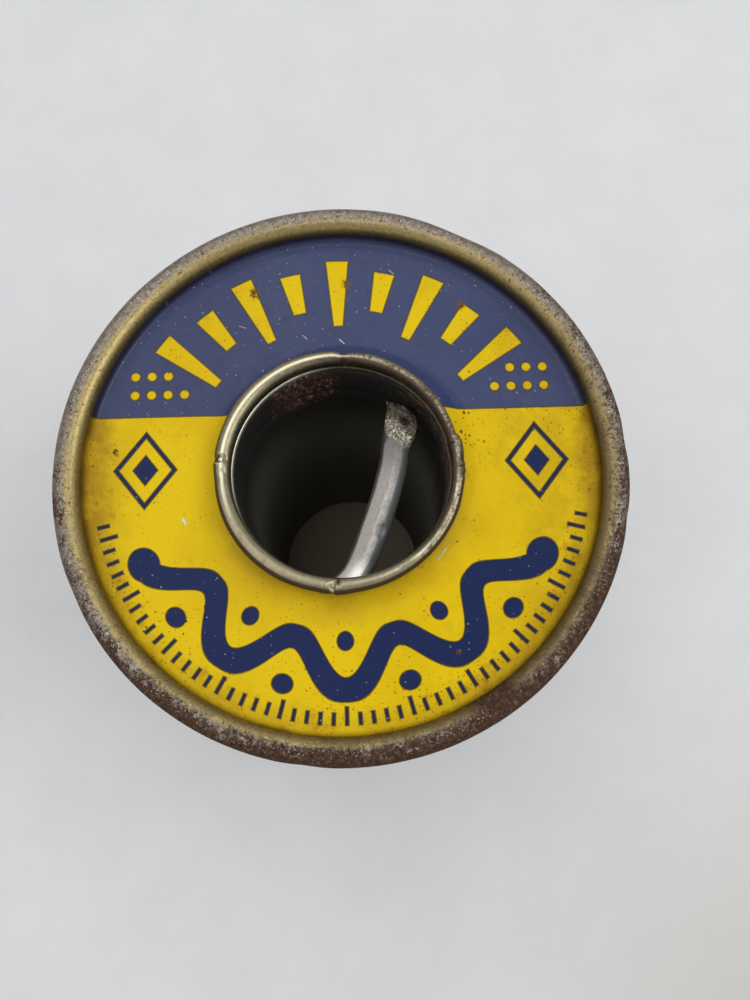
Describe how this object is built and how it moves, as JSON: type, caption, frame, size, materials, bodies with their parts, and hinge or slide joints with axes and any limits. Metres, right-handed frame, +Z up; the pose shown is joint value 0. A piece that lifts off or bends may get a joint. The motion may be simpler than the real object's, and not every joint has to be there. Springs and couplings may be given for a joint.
{
  "type": "solder wire spool",
  "caption": "Tinplate spool of cored solder wire: round flanges with rolled rims, curled onto a hollow barrel, and the wire's end poking into the bore.",
  "frame": {"origin": "centre of the lower rim, on the surface that the spool stands on", "axes": "+Z up along the barrel, +X along the line that divides the two colours of the upper flange, +Y towards its blue side"},
  "size_m": [0.0508, 0.0508, 0.054],
  "materials": {
    "printed_tinplate": "satin",
    "lacquered_tinplate": "satin",
    "solder": "satin",
    "flux": "gloss"
  },
  "bodies": {
    "root": {"core_tube": "lacquered_tinplate", "top_flange": "printed_tinplate", "bottom_flange": "printed_tinplate", "wire_start_tail": "solder", "flux_core_start": "flux", "wire_inner_layers": "solder", "wire_outer_layer": "solder", "wire_free_end": "solder", "flux_core_end": "flux"}
  },
  "joints": []
}
